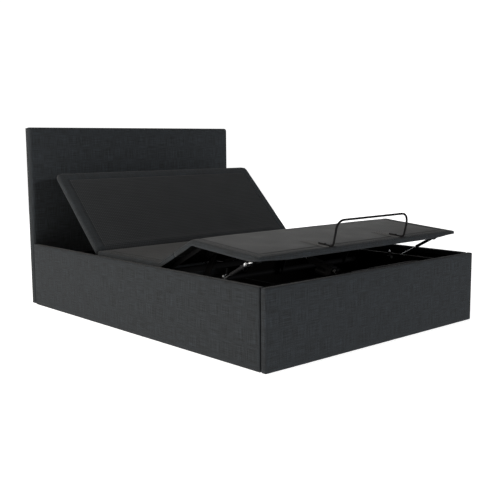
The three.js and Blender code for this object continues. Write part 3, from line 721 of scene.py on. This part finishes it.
def deck_cover(name, flat_ends, free_end, hinge_profiles, seed, crown, to_rest, taper=0.0,
               ridge=0.0):
    """A padded cover round one stretch of the deck, built flat and then taken to its place.

    flat_ends are the y places of its ends. free_end is -1 or 1 for the end with a corner
    radius, or 0 for none. hinge_profiles are the edge profiles of the low and high ends.
    """
    low, high = flat_ends
    half = DECK_HALF
    radii = [FREE_CORNER[side] if free_end == side else HINGE_CORNER for side in (-1, 1)]
    profiles = [FREE_EDGE if free_end == side else hinge_profiles[k]
                for k, side in enumerate((-1, 1))]
    inset = [profile[0][0] for profile in profiles]
    seam_x = half - BORDER_WIDTH
    seams_y = []
    if free_end:
        seams_y = [high - BORDER_WIDTH if free_end > 0 else low + BORDER_WIDTH]
    xs = ladder(-half + SHOULDER, half - SHOULDER, SPACING_X, [-seam_x, seam_x])
    ys = ladder(low + inset[0], high - inset[1], SPACING_Y, seams_y)
    middle = (low + high) / 2

    def frame_of(x, y):
        """The rounded outline's centre, outward direction and corner radius for a rim point."""
        radius = radii[0] if y < middle else radii[1]
        core = np.array([np.clip(x, radius - half, half - radius),
                         np.clip(y, low + radius, high - radius)])
        out = np.array([x, y]) - core
        return core, out, radius

    def rim(x, y, level):
        end = 0 if y < middle else 1
        core, out, radius = frame_of(x, y)
        out = out / np.linalg.norm(out)
        if profiles[end] is FLUSH_EDGE and abs(x) == half:
            out = np.array([math.copysign(1.0, x), 0.0])
            core = np.array([math.copysign(half - radius, x), y])
        turned = out[1] ** 2
        side_inset, side_z = FREE_EDGE[level]
        end_inset, end_z = profiles[end][level]
        depth = side_inset + (end_inset - side_inset) * turned
        height = side_z + (end_z - side_z) * turned
        return core + out * (radius - depth), height, out

    nx, ny = len(xs), len(ys)
    loop = ([(i, 0) for i in range(nx - 1)] + [(nx - 1, j) for j in range(ny - 1)]
            + [(i, ny - 1) for i in range(nx - 1, 0, -1)] + [(0, j) for j in range(ny - 1, 0, -1)])

    def rim_target(i, j):
        """The same rim place on the outermost box, which sets its direction."""
        x, y = xs[i], ys[j]
        if i in (0, nx - 1):
            x = math.copysign(half, x)
        if j in (0, ny - 1):
            y = low if j == 0 else high
        return x, y

    points, uvs_top = [], []

    def add_point(x, y, z, u, v):
        points.append((x, y, z))
        uvs_top.append((u, v))
        return len(points) - 1

    grid = {}
    rim_loop = set(loop)
    for i in range(nx):
        for j in range(ny):
            x, y, z = xs[i], ys[j], COVER_TOP
            if (i, j) in rim_loop:
                place, z, _ = rim(*rim_target(i, j), 0)
                x, y = place
            free = from_free_end(y, low, high, free_end)
            lift = surface_height(x, free, half, seed, crown)
            lift += ridge * math.exp(-((y - ys[0] - RIDGE_AT) / RIDGE_WIDTH) ** 2)
            if (i, j) in rim_loop:
                lift *= SIDE_RIM_SHARE if i in (0, nx - 1) or j == ny - 1 else END_RIM_SHARE
            grid[i, j] = add_point(x, y, z + lift, x, y)
    rings = [[grid[key] for key in loop]]
    reach = 0.0
    for level in range(1, len(FREE_EDGE)):
        step = FREE_EDGE[level] - FREE_EDGE[level - 1]
        reach += float(np.hypot(*step))
        ring = []
        for key in loop:
            place, z, out = rim(*rim_target(*key), level)
            wave = CLOTH_WAVE * soft_noise(place[0] + place[1], z, 0.03, seed + 5)
            u, v = place + out * reach
            ring.append(add_point(*(place + out * wave), z, u, v))
        rings.append(ring)
    under = {}
    for i in range(nx):
        for j in range(ny):
            if (i, j) in rim_loop:
                under[i, j] = rings[-1][loop.index((i, j))]
            else:
                sag = CLOTH_WAVE * soft_noise(xs[i], ys[j], 0.12, seed + 8)
                under[i, j] = add_point(xs[i], ys[j], COVER_BOTTOM + sag, xs[i], ys[j])
    faces, slots, uvs = [], [], []
    hinge_rows = [j for j, side in ((0, -1), (ny - 1, 1)) if free_end != side]

    def add_face(ring, slot, places):
        faces.append(ring)
        slots.append(slot)
        uvs.extend(places)

    for i in range(nx - 1):
        for j in range(ny - 1):
            keys = [(i, j), (i + 1, j), (i + 1, j + 1), (i, j + 1)]
            x = (xs[i] + xs[i + 1]) / 2
            y = (ys[j] + ys[j + 1]) / 2
            centre = min(half - abs(x), from_free_end(y, low, high, free_end)) > BORDER_WIDTH
            top = [grid[key] for key in keys]
            add_face(top, 1 if centre else 0, [uvs_top[k] for k in top])
            below = [under[key] for key in reversed(keys)]
            add_face(below, 2, [(xs[m], ys[n]) for m, n in reversed(keys)])
    count = len(loop)
    for level in range(len(rings) - 1):
        for k in range(count):
            n = (k + 1) % count
            ring = [rings[level][k], rings[level + 1][k], rings[level + 1][n], rings[level][n]]
            rolled = all(key[1] in hinge_rows and abs(xs[key[0]]) < seam_x + MM
                         for key in (loop[k], loop[n]))
            add_face(ring, 1 if rolled else 0, [uvs_top[m] for m in ring])
    flat = np.array(points, float)
    if taper and free_end:
        edge = from_free_end(flat[:, 1], low, high, free_end)
        beside = smoothstep((np.abs(flat[:, 0]) - half + TAPER_START) / TAPER_SPREAD)
        share = TAPER_LEAST + (1 - TAPER_LEAST) * beside
        lift = taper * smoothstep(1 - edge / TAPER_LENGTH) * share
        flat[:, 2] += lift * (COVER_TOP - flat[:, 2]) / (COVER_TOP - COVER_BOTTOM)
    flat[:, 2] += DECK_Z
    # The undersides take the near-black cloth, painted shade under the deck.
    piece = add_object(name, to_rest(flat), faces, [BORDER, CENTRE, DUST_CLOTH_PAINTED_SHADE], slots, uvs)
    return piece


HEAD_ROLL_GAP = 6 * MM
SEAT_EDGE_GAP = 8 * MM
SPLIT_Y = THIGH_AXIS[1] - THIGH_LENGTH / 2
SPLIT_GAP = 0.2 * MM


def add_head_cover():
    ends = (HEAD_AXIS[1] + HEAD_ROLL_GAP, HEAD_AXIS[1] + HEAD_LENGTH)
    cover = deck_cover("head_cover", ends, 1, (ROLL_EDGE, None), 2.7, 3.0 * MM, head_rest,
                       ridge=5 * MM)
    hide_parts("head_pad")
    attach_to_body(cover, "head_section")


def add_seat_cover():
    ends = (SPLIT_Y + SPLIT_GAP, HEAD_AXIS[1] - SEAT_EDGE_GAP)
    zone = bend_zone(THIGH_AXIS, math.pi - THIGH_TILT / 2, 30 * MM)
    cover = deck_cover("seat_cover", ends, 0, (FLUSH_EDGE, FREE_EDGE), 6.1, 2.6 * MM,
                       lambda flat: bent(flat, THIGH_AXIS, -THIGH_TILT, zone))
    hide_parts("seat_pad")
    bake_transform(cover)


def add_leg_cover():
    ends = (KNEE_FLAT[1] - LEG_LENGTH, SPLIT_Y - SPLIT_GAP)
    knee = thigh_rest(KNEE_FLAT[None, :])[0]
    heading = math.pi - THIGH_TILT + KNEE_FOLD / 2
    zone = bend_zone(knee, heading, 38 * MM)
    cover = deck_cover("leg_cover", ends, -1, (None, FLUSH_EDGE), 9.4, 2.6 * MM,
                       lambda flat: bent(flat, KNEE_FLAT, KNEE_FOLD, zone, thigh_rest),
                       taper=11 * MM)
    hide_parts("leg_pad", "thigh_pad")
    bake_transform(cover)


def add_head_crease():
    """A strip of cloth that closes the gap between the seat and the head section."""
    zone = bend_zone(HEAD_AXIS, HEAD_TILT / 2, 22 * MM)
    half = DECK_HALF - FREE_CORNER[-1]
    rise, sag, unevenness = 13.5 * MM, 2.5 * MM, 0.4 * MM
    xs = np.linspace(-half, half, 50)
    ys = np.linspace(HEAD_AXIS[1] - 26 * MM, HEAD_AXIS[1] + 34 * MM, 13)
    points = []
    for x in xs:
        for y in ys:
            share = (y - ys[0]) / (ys[-1] - ys[0])
            dip = -sag * math.sin(math.pi * share) + unevenness * soft_noise(x, y, 0.03, 4.4)
            points.append((x, y, DECK_Z + rise + dip))
    faces, uvs = grid_faces(xs, ys)
    flat = np.array(points)
    piece = add_object("head_crease_cloth", bent(flat, HEAD_AXIS, HEAD_TILT, zone), faces,
                       [CENTRE], uvs=uvs)
    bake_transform(piece)


# ---------------------------------------------------------------- mattress retainer
RETAINER_HALF = 0.280
RETAINER_RADIUS = 0.0056
RETAINER_FOOT_Z = COVER_TOP + 0.006
RETAINER_TOP_Z = 0.159
RETAINER_UPRIGHT = 0.496
RETAINER_START = 0.424
RETAINER_SLEEVE = (0.414, 0.446)
SLEEVE_RADIUS = 8 * MM
PATCH_HALF_WIDTH = 0.040
PATCH_ENDS = (0.300, 0.478)
PATCH_RIM_HEIGHTS = (2.8 * MM, 4.2 * MM, 3.6 * MM, 4.4 * MM)


def leg_point(x, along, height):
    """A place on the leg section: along is towards the foot from the knee."""
    flat = np.array([[x, KNEE_FLAT[1] - along, DECK_Z + height]])
    return leg_rest(flat)[0]


def curve_points(a, b, c, count):
    return [(1 - t) ** 2 * a + 2 * t * (1 - t) * b + t * t * c
            for t in np.linspace(0, 1, count)[1:]]


def tube(name, path, radius, material, sides):
    """A closed round tube along a path."""
    path = [np.array(p, float) for p in path]
    tangents = []
    for i in range(len(path)):
        ahead = path[min(i + 1, len(path) - 1)] - path[max(i - 1, 0)]
        tangents.append(ahead / np.linalg.norm(ahead))
    side = np.cross(tangents[0], [0.0, 0.0, 1.0])
    if np.linalg.norm(side) < 0.1:
        side = np.cross(tangents[0], [0.0, 1.0, 0.0])
    points = []
    for p, t in zip(path, tangents):
        side = side - t * (side @ t)
        side /= np.linalg.norm(side)
        points.extend(ring_points(p, side, np.cross(t, side), radius, sides))
    return add_object(name, points, round_faces(len(path), sides), [material])


def retainer_route():
    """One rod: a foot along the deck, a bend upwards and a rounded corner on each side."""
    upright, top = RETAINER_UPRIGHT, RETAINER_UPRIGHT + 14 * MM
    lean = 2 * MM
    bend, corner = 0.020, 0.055
    sides = {}
    for sign in (-1, 1):
        x = sign * RETAINER_HALF
        foot = [leg_point(x, along, RETAINER_FOOT_Z) for along in (RETAINER_START, upright - bend)]
        foot += curve_points(foot[-1], leg_point(x, upright, RETAINER_FOOT_Z),
                             leg_point(x, upright + lean, RETAINER_FOOT_Z + bend), 9)
        rise = leg_point(x, top - 1.5 * lean, RETAINER_TOP_Z - corner)
        shoulder = curve_points(rise, leg_point(x, top, RETAINER_TOP_Z),
                                leg_point(x - sign * corner, top, RETAINER_TOP_Z), 11)
        sides[sign] = foot + [rise] + shoulder
    return sides[-1] + list(reversed(sides[1]))


def add_retainer():
    bar = tube("retainer_hoop", retainer_route(), RETAINER_RADIUS, GLOSS_STEEL, 20)
    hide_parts("retainer_bar")
    attach(bar, "leg_section")
    for side, sign in SIDES:
        x = sign * RETAINER_HALF
        ends = [leg_point(x, along, RETAINER_FOOT_Z) for along in RETAINER_SLEEVE]
        sleeve = tube(f"retainer_end_{side}", ends, SLEEVE_RADIUS, BLACK_PLASTIC, 20)
        attach(sleeve, "leg_section")
        add_retainer_patch(side, x)


def add_retainer_patch(side, x):
    """A sewn rectangle of tougher cloth under the end of the hoop."""
    start, end = PATCH_ENDS
    xs = np.linspace(x - PATCH_HALF_WIDTH, x + PATCH_HALF_WIDTH, 17)
    us = np.linspace(start, end, 33)
    points = []
    for i, px in enumerate(xs):
        for j, u in enumerate(us):
            rim = min(i, len(xs) - 1 - i, j, len(us) - 1 - j)
            height = COVER_TOP + PATCH_RIM_HEIGHTS[min(rim, 3)]
            height += 0.3 * MM * soft_noise(px, u, 0.02, 5.5)
            points.append(leg_point(px, u, height))
    faces, uvs = grid_faces(xs, us, flipped=True)
    patch = add_object(f"retainer_patch_{side}", points, faces, [PATCH], uvs=uvs)
    attach(patch, "leg_section")


# ---------------------------------------------------------------- bolts and strut fittings
def lathe(name, start, axis, profile, material, sides):
    """A closed turned shape; profile holds (distance along the axis, radius) pairs."""
    start, axis = np.array(start, float), np.array(axis, float)
    axis /= np.linalg.norm(axis)
    side = np.cross(axis, [0.0, 0.0, 1.0] if abs(axis[2]) < 0.9 else [0.0, 1.0, 0.0])
    side /= np.linalg.norm(side)
    up = np.cross(axis, side)
    points = []
    for along, radius in profile:
        points.extend(ring_points(start + axis * along, side, up, radius, sides))
    faces = round_faces(len(profile), sides)
    return add_object(name, points, faces, [material], smooth=False)


def hex_bolt(name, place, axis, size, body):
    """A washer under a chamfered six-sided head."""
    washer = [(0, size * 1.05), (0.2 * MM, size * 1.12), (1.2 * MM, size * 1.12),
              (1.4 * MM, size * 1.05)]
    head = [(1.4 * MM, size * 0.94), (1.8 * MM, size), (5.6 * MM, size), (6.6 * MM, size * 0.86)]
    for part, profile, sides in (("washer", washer, 32), ("head", head, 6)):
        piece = lathe(f"{name}_{part}", place, axis, profile, ZINC, sides)
        attach(piece, body)


STRUT_TOP_OUT = 14.2 * MM
STRUT_BASE_OUT = 12.2 * MM
STRUT_BRACKET_OUT = 17 * MM
STRUT_BRACKET_ENDS = ((10 * MM, 27 * MM), (46 * MM, 15 * MM))
MOUNT_OUT = 17.2 * MM


def add_strut_fittings():
    """Zinc-plated end sleeves on the struts, and the bolts they turn on."""
    sleeve = [(10.5 * MM, 5.2 * MM), (12 * MM, 9 * MM), (14 * MM, 9.4 * MM), (21 * MM, 9.4 * MM),
              (22 * MM, 8.8 * MM)]
    for side, sign in SIDES:
        base = np.array(JOINTS[f"strut_tilt_{side}"]["pos_m"])
        top = leg_point(base[0], STRUT_PIN_ALONG, -STRUT_PIN_BELOW)
        outward = np.array([sign, 0, 0])
        piece = lathe(f"strut_sleeve_{side}", top, base - top, sleeve, ZINC, 28)
        attach(piece, f"strut_cylinder_body_{side}")
        hex_bolt(f"strut_top_bolt_{side}", top + outward * STRUT_TOP_OUT, outward, 6.5 * MM,
                 "leg_section")
        ends = [leg_point(base[0] + sign * STRUT_BRACKET_OUT, STRUT_PIN_ALONG + along, -below)
                for along, below in STRUT_BRACKET_ENDS]
        bracket = tube(f"strut_bracket_{side}", ends, 4.2 * MM, ZINC, 12)
        attach(bracket, "leg_section")
        hex_bolt(f"strut_base_bolt_{side}", base + outward * STRUT_BASE_OUT, outward, 7.5 * MM,
                 "frame")


BUMPER_Y = -0.632
BUMPER_INSET = 43 * MM
BUMPER_FOOT_BELOW = 9 * MM
BUMPER_CLEARANCE = 3 * MM
BUMPER_BOLT_INSET = 18.4 * MM
BUMPER_BOLT_BELOW = 12.5 * MM
TUBE_WALL_INSET = 15.2 * MM


def add_rest_bumpers():
    """Black posts with a zinc-plated cap nut, beside each side tube."""
    for side, sign in SIDES:
        x = sign * (FRAME_TUBE_X - BUMPER_INSET)
        foot = (x, BUMPER_Y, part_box(f"frame_tube_{side}")[1].z - BUMPER_FOOT_BELOW)
        rise = DECK_Z + COVER_BOTTOM - BUMPER_CLEARANCE - foot[2]
        rod = [(0, 6), (1, 6.5), (rise / MM - 13, 6.5), (rise / MM - 12, 6)]
        cap = [(-11.8, 7), (-11, 7.8), (-9.5, 7.8), (-9, 5.6), (-2, 5.2), (0, 3)]
        post = lathe(f"bumper_post_{side}", foot, (0, 0, 1),
                     [(along * MM, radius * MM) for along, radius in rod], BLACK_STEEL_AND_PAINTED_SHADE, 20)
        nut = lathe(f"bumper_nut_{side}", foot, (0, 0, 1),
                    [(rise + along * MM, radius * MM) for along, radius in cap], ZINC, 24)
        bracket = bracket_plate(f"bumper_bracket_{side}", sign, x, foot[2])
        bolt_at = (sign * (FRAME_TUBE_X - BUMPER_BOLT_INSET), BUMPER_Y,
                   foot[2] - BUMPER_BOLT_BELOW)
        hex_bolt(f"bumper_bolt_{side}", bolt_at, (-sign, 0, 0), 6.5 * MM, "frame")
        attach(post, "frame")
        attach(nut, "frame")
        attach(bracket, "frame")


def bracket_plate(name, sign, x, z):
    """A bent steel tab from the side tube's inner wall out under a bumper."""
    half, thick, drop, past_post = (n * MM for n in (14, 3, 22, 13))
    wall = sign * (FRAME_TUBE_X - TUBE_WALL_INSET)
    far = x - sign * past_post
    outline = [(wall, z - drop), (wall, z), (far, z), (far, z - thick),
               (wall - sign * thick, z - thick), (wall - sign * thick, z - drop)]
    points = [(a, BUMPER_Y + y, b) for y in (-half, half) for a, b in outline]
    count = len(outline)
    faces = [tuple(range(count)), tuple(reversed(range(count, 2 * count)))]
    faces += [(k, k + count, (k + 1) % count + count, (k + 1) % count) for k in range(count)]
    piece = add_object(name, points, faces, [BLACK_STEEL_AND_PAINTED_SHADE], smooth=False)
    bevel = piece.modifiers.new("soft edges", "BEVEL")
    bevel.width = 0.6 * MM
    bevel.segments = 2
    return piece


def add_mount_bolts():
    """Bolt heads at the actuators' hinge pins."""
    for name in ("leg", "head"):
        pivot = np.array(JOINTS[f"{name}_motor_tilt"]["pos_m"])
        for side, sign in SIDES:
            place = pivot + np.array([sign * MOUNT_OUT, 0, 0])
            hex_bolt(f"{name}_mount_bolt_{side}", place, (sign, 0, 0), 7 * MM, "frame")


# ---------------------------------------------------------------- finishes of the CAD pieces
def finish_cad_nodes():
    by_slot = {
        "board": BOARD, "black_steel": BLACK_STEEL_AND_PAINTED_SHADE, "bright_steel": ROD_STEEL,
        "black_plastic": BLACK_PLASTIC, "nylon": NYLON, "linen_fabric": LINEN,
        "deck_fabric": CENTRE,
    }
    by_node = {"control_box": GREY_PLASTIC, "strut_cylinder_left": STRUT_COAT,
               "strut_cylinder_right": STRUT_COAT}
    for part in frame["record"]["subparts"]:
        node = frame["nodes"][part["node"]]
        material = by_node.get(part["node"], by_slot[part["material_slot"]])
        if not node.material_slots:
            node.data.materials.append(material)
        for slot in node.material_slots:
            slot.material = material


# ---------------------------------------------------------------- camera, floor and light
CAMERA_PLACE = (-3.1856, -3.6339, 1.0358)
CAMERA_ANGLES = (42.054, 7.781, -0.352)
CAMERA_LENS = 57.76


def add_camera():
    """Yaw is 0 along +Y and turns towards +X, and pitch looks down."""
    yaw, pitch, roll = (math.radians(a) for a in CAMERA_ANGLES)
    forward = Vector((math.sin(yaw) * math.cos(pitch), math.cos(yaw) * math.cos(pitch),
                      -math.sin(pitch)))
    right = Vector((math.cos(yaw), -math.sin(yaw), 0))
    up = right.cross(forward)
    tilted = math.cos(roll) * right + math.sin(roll) * up
    upright = math.cos(roll) * up - math.sin(roll) * right
    camera = bpy.data.objects.new("camera", bpy.data.cameras.new("camera"))
    bpy.context.scene.collection.objects.link(camera)
    camera.data.lens = CAMERA_LENS
    camera.data.sensor_width = 36
    camera.data.clip_end = 200
    turned = Matrix((tilted, upright, -forward)).transposed().to_4x4()
    camera.matrix_world = Matrix.Translation(CAMERA_PLACE) @ turned
    bpy.context.scene.camera = camera


def add_floor():
    size = 60.0
    corners = [(-size, -size, 0), (size, -size, 0), (size, size, 0), (-size, size, 0)]
    s = Shader("floor")
    s.set(Base_Color=(0.86, 0.86, 0.86, 1), Roughness=0.9)
    s.set(Emission_Color=(1, 1, 1, 1), Emission_Strength=0.88)
    floor = add_object("floor", corners, [(0, 1, 2, 3)], [s.material], smooth=False)
    floor.location.z = -0.6 * MM


def area_light(name, place, target, size, power, color=(1, 1, 1)):
    light = bpy.data.lights.new(name, "AREA")
    light.shape = "RECTANGLE"
    light.size, light.size_y = size
    light.energy = power
    light.color = color
    lamp = bpy.data.objects.new(name, light)
    lamp.location = place
    lamp.rotation_euler = (Vector(target) - Vector(place)).to_track_quat("-Z", "Y").to_euler()
    bpy.context.scene.collection.objects.link(lamp)


def sun_light(name, direction, strength, angle):
    light = bpy.data.lights.new(name, "SUN")
    light.energy = strength
    light.angle = math.radians(angle)
    lamp = bpy.data.objects.new(name, light)
    lamp.rotation_euler = Vector(direction).to_track_quat("-Z", "Y").to_euler()
    bpy.context.scene.collection.objects.link(lamp)


def add_lights():
    sun_light("front_key", (-0.06, 1.0, -0.17), 1.10, 3.5)
    area_light("left_soft", (-5.5, 0.6, 2.2), (0, 0, 0.3), (3.5, 2.5), 240, (1.0, 0.94, 0.86))
    area_light("back_soft", (4.2, 5.2, 1.9), (0, 0, 0.3), (6.0, 3.0), 72)
    area_light("top_soft", (0.6, 3.8, 3.9), (0, 0, 0.4), (4.0, 3.0), 46)
    world = bpy.data.worlds.new("studio")
    bpy.context.scene.world = world
    world.use_nodes = True
    tree = world.node_tree
    background = tree.nodes["Background"]
    path = tree.nodes.new("ShaderNodeLightPath")
    strength = tree.nodes.new("ShaderNodeMapRange")
    tree.links.new(path.outputs["Is Camera Ray"], strength.inputs["Value"])
    strength.inputs["To Min"].default_value = 0.13
    strength.inputs["To Max"].default_value = 1.1
    tree.links.new(strength.outputs[0], background.inputs["Strength"])
    background.inputs["Color"].default_value = (1, 1, 1, 1)


# ---------------------------------------------------------------- the scene
bpy.context.scene.view_settings.view_transform = "Standard"
add_camera()
add_floor()
add_lights()
add_surround()
add_linings()
add_joint_strips()
add_bottom_cloth()
add_head_cover()
add_seat_cover()
add_leg_cover()
add_head_crease()
add_retainer()
add_strut_fittings()
add_rest_bumpers()
add_mount_bolts()
finish_cad_nodes()
